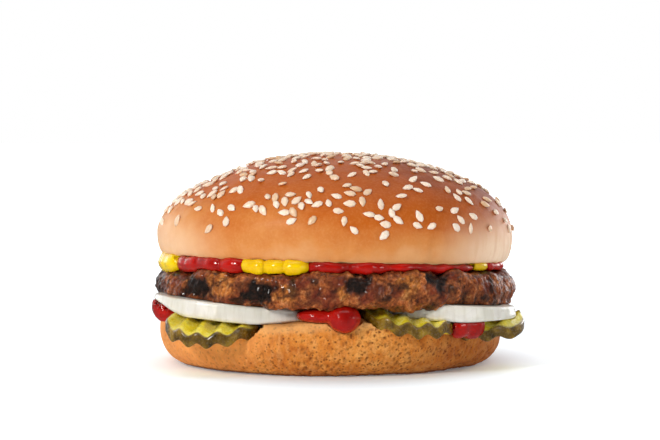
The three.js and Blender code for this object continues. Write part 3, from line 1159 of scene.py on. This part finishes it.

# %% [markdown]
# ## Crown of the bun
# The crown is glazed and browned: darkest on top. Its lower left and right sides are
# painted pale as rim light, most on the right, and its left side is painted lighter and
# its right side darker, as the key light from the left would show them. A finish could
# read the height for the browning, but the bun leans, and this painted light is not height
# either, so each vertex carries how high it counts and how pale it is. The form is a spun
# dome with slight dents, fine folds at its pale sides, and a slumped left side.


# %% Crust finish
def crust_finish():
    material = new_finish(
        "glazed_crust",
        Specular_IOR_Level=0.09,
        Coat_Weight=0.02,
        Coat_Roughness=0.3,
        Subsurface_Weight=0.06,
        Subsurface_Radius=(3.0, 1.4, 0.6),
        Subsurface_Scale=1.0 * MM,
    )
    tree = material.node_tree
    broad = clouds(tree, 42, 3.0)
    medium = clouds(tree, 260, 5.0)
    fine = clouds(tree, 1400, 4.0)
    # lift: how browned the crust is, darker towards the top; it also carries painted light, lighter
    # on the left and darker on the right, and painted rim light, paler at the lower left and right
    # sides.
    lift = calc(tree, "ADD", carried(tree, "lift"), between(tree, broad, 0.3, 0.7, -0.09, 0.09))
    lift = calc(tree, "ADD", lift, between(tree, medium, 0.3, 0.7, -0.03, 0.03))
    crust = ramp(
        tree,
        lift,
        (0.0, tint(224, 170, 118)),
        (0.2, tint(208, 132, 68)),
        (0.38, tint(190, 96, 28)),
        (0.6, tint(178, 84, 18)),
        (0.75, tint(166, 76, 16)),
        (0.95, tint(126, 50, 8)),
    )
    # pale: painted rim light on the lower left and right sides, most on the right. The wrinkles are
    # coloured only there.
    pale = carried(tree, "pale")
    crust = mixed(tree, pale, crust, tint(248, 216, 186))
    wrinkles = clouds(tree, 1.0, 3.0, stretched(tree, 420, 420, 60))
    wrinkles = calc(tree, "MULTIPLY", pale, between(tree, wrinkles, 0.45, 0.65, 0.0, 0.55))
    crust = mixed(tree, wrinkles, crust, tint(222, 168, 126))
    crust = mixed(tree, between(tree, fine, 0.45, 0.75, 0.0, 0.16), crust, tint(228, 170, 110))
    colour = mixed(tree, carried(tree, "cut"), crust, tint(226, 186, 130))
    normal = bump(tree, fine, 0.03 * MM, bump(tree, medium, 0.12 * MM))
    return finished(material, colour, between(tree, medium, 0.3, 0.7, 0.34, 0.48), normal)


GLAZED_CRUST = crust_finish()

# %% Crown shape
CROWN_TILT = (math.atan(-0.03), math.atan(0.022))
CROWN_HEIGHT = 30 * MM
CROWN_CUT = 0.944  # the cut face, as a part of the radius
CROWN_WAIST = 0.25 * CROWN_HEIGHT  # where it is widest
CROWN_FULLER = 0.012  # how much higher the dome gets for each metre to the right
CROWN_SLUMP = 1.7 * MM  # how far the dome slumps at the left
CROWN_SINK = 0.7 * MM  # how far its top sinks


def crown_dome(radius):
    """The bare form of the crown, its cut face at height 0."""
    face = radius * CROWN_CUT
    profile = [(0, 0)]
    profile += straight((0, 0), (face, 0), 16)
    profile += quarter((face, 0), (radius, CROWN_WAIST), 2.6, 18, True)
    profile += quarter((radius, CROWN_WAIST), (0, CROWN_HEIGHT), 2.1, 90, False)
    return spun(profile, 380)


print("the crown's height before it sinks, in mm:", round(CROWN_HEIGHT / MM, 1))


# %% Crown
def crown():
    """The bare form with its dents and folds, tilted and slumped."""
    low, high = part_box("crown")
    radius = (high.x - low.x) / 2
    bm = crown_dome(radius)
    lift, cut, pale = (bm.verts.layers.float.new(name) for name in ("lift", "cut", "pale"))

    def baked(place, normal, v):
        up = place.z / CROWN_HEIGHT
        across = place.x / radius
        # Painted rim light: the lower left and right sides are painted paler.
        aside = fade(abs(across), 0.5, 1.0) * (1 - up)
        # Painted light: lighter on the left, which faces the key light, and darker on the right,
        # away from it.
        turned = (0.5 if across > 0 else 0.12) * across * fade(up, 0.1, 0.5)
        tanned = 0.12 + 0.6 * up ** 1.2 + turned - 0.22 * aside
        v[lift] = min(1.0, max(0.0, tanned))
        # Painted rim light: the lower sides are painted pale, fully on the right and about a third
        # as much on the left.
        palest = 1.0 if across > 0 else 0.35
        v[pale] = palest * fade(abs(across), 0.5, 0.95) * fade(up, 0.55, 0.1)
        v[cut] = fade(normal.z, -0.75, -0.95)
        dents = 0.35 * MM * rough(place, 16 * MM, 2) + 0.08 * MM * rough(place, 4 * MM, 2)
        turn = math.atan2(place.y, place.x)
        folds = 0.12 * MM * math.sin(64 * turn + 3 * rough(place, 10 * MM)) * fade(up, 0.4, 0.1)
        return dents + folds * fade(rough(place, 20 * MM), -0.1, 0.3)

    push(bm, baked)
    for v in bm.verts:
        up = max(0.0, v.co.z - CROWN_WAIST) / (CROWN_HEIGHT - CROWN_WAIST)
        v.co.z += CROWN_FULLER * v.co.x * up
    fit(bm, "crown", CROWN_TILT)
    for v in bm.verts:
        up = (v.co.z - low.z) / (high.z - low.z)
        left = fade(low.x + radius - v.co.x, 0.3 * radius, 0.7 * radius)
        v.co.z -= CROWN_SLUMP * left * fade(up, 0.15, 0.5) + CROWN_SINK * fade(up, 0.3, 0.8)
    return bm


bm = crown()
crown_tree = BVHTree.FromBMesh(bm)
piece(bm, "bun_crown", GLAZED_CRUST, "crust", "crown")

# %% [markdown]
# ## Sesame seeds
# A hulled seed is a flat drop a little over 3 mm long. They were scattered on the wet
# dough, so they lie any way round, in clumps, thick on top and thin towards the rim.
# Placing hundreds by hand is no way to work, so a seeded random rule scatters them, and
# a ray finds the crust under each. Each seed has only a few dozen faces, and all of
# them are joined in one mesh.


# %% Seed finish
def seed_finish():
    material = new_finish(
        "toasted_seed",
        Specular_IOR_Level=0.5,
        Coat_Weight=0.25,
        Coat_Roughness=0.2,
        Subsurface_Weight=0.15,
        Subsurface_Radius=(1.0, 0.8, 0.5),
        Subsurface_Scale=1.0 * MM,
    )
    tree = material.node_tree
    streak = clouds(tree, 1500, 3.0)
    cream = ramp(
        tree,
        carried(tree, "toast"),
        (0.0, tint(248, 228, 208)),
        (0.6, tint(240, 212, 184)),
        (1.0, tint(220, 178, 136)),
    )
    colour = mixed(tree, between(tree, streak, 0.45, 0.75, 0.0, 0.35), cream, tint(214, 174, 128))
    satin = between(tree, streak, 0.3, 0.7, 0.28, 0.42)
    return finished(material, colour, satin, bump(tree, streak, 0.04 * MM))


TOASTED_SEED = seed_finish()

# %% Scattering
SEED_COUNT = 460
SEED_SPACING = 2.3 * MM
AIM_HEIGHT = 37.5 * MM  # the rays that look for the crust aim here, inside the crown


def seed_spots(count, chance):
    """Random places on the dome with their normals, no two closer than the spacing."""
    low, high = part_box("crown")
    middle = (low + high) / 2
    reach = (high.x - low.x) / 2
    spots = []
    while len(spots) < count:
        turn = chance.uniform(0, 2 * math.pi)
        rise = math.asin(chance.uniform(0.0, 1.0))
        flat = math.cos(rise)
        out = Vector((math.cos(turn) * flat, math.sin(turn) * flat, 0.75 * math.sin(rise)))
        aim = Vector((middle.x, middle.y, AIM_HEIGHT))
        place, normal, _, _ = crown_tree.ray_cast(aim + out * 2 * reach, -out)
        if place is None:
            continue
        up = (place.z - low.z) / (high.z - low.z)
        clump = 0.4 + 0.6 * fade(rough(place, 8 * MM, 2), -0.3, 0.2)
        density = (0.07 + 0.93 * fade(up, 0.22, 0.64)) * clump
        if chance.random() > density:
            continue
        if all((place - other).length > SEED_SPACING for other, _ in spots):
            spots.append((place, normal))
    return spots


print("seeds to scatter:", SEED_COUNT)


# %% Sesame seeds
SEED_LENGTH = 3.4 * MM
SEED_WIDTH = 2.1 * MM
SEED_DEPTH = 1.0 * MM
SEED_RAISED = 0.32 * SEED_DEPTH  # how far its middle lies above the crust


def sesame_seeds():
    """All the seeds in one mesh, each a tapered ball that lies on the crust."""
    chance = random.Random(11)
    bm = bmesh.new()
    toast = bm.verts.layers.float.new("toast")
    for place, normal in seed_spots(SEED_COUNT, chance):
        made = bmesh.ops.create_uvsphere(bm, u_segments=8, v_segments=6, radius=0.5)["verts"]
        browned = chance.random() ** 2
        size = chance.uniform(0.86, 1.1)
        for v in made:
            v[toast] = browned
            taper = 1 - 0.42 * fade(v.co.x, -0.1, 0.5)
            x, y, z = v.co * size
            v.co = (x * SEED_LENGTH, y * SEED_WIDTH * taper, z * SEED_DEPTH * taper)
        lie = normal.to_track_quat("Z", "X").to_matrix().to_4x4()
        spin = Matrix.Rotation(chance.uniform(0, 2 * math.pi), 4, "Z")
        roll = Matrix.Rotation(chance.gauss(0, 0.2), 4, "X")
        pitch = Matrix.Rotation(chance.gauss(0, 0.16), 4, "Y")
        spot = Matrix.Translation(place + normal * SEED_RAISED)
        bmesh.ops.transform(bm, verts=made, matrix=spot @ lie @ spin @ roll @ pitch)
    return bm


piece(sesame_seeds(), "sesame_seeds", TOASTED_SEED, "seed")

# %% [markdown]
# ## Clearing up
# The copy of the firm pieces, which the soft pieces were pressed against, is freed.

# %% Freeing the copy
firm.free()
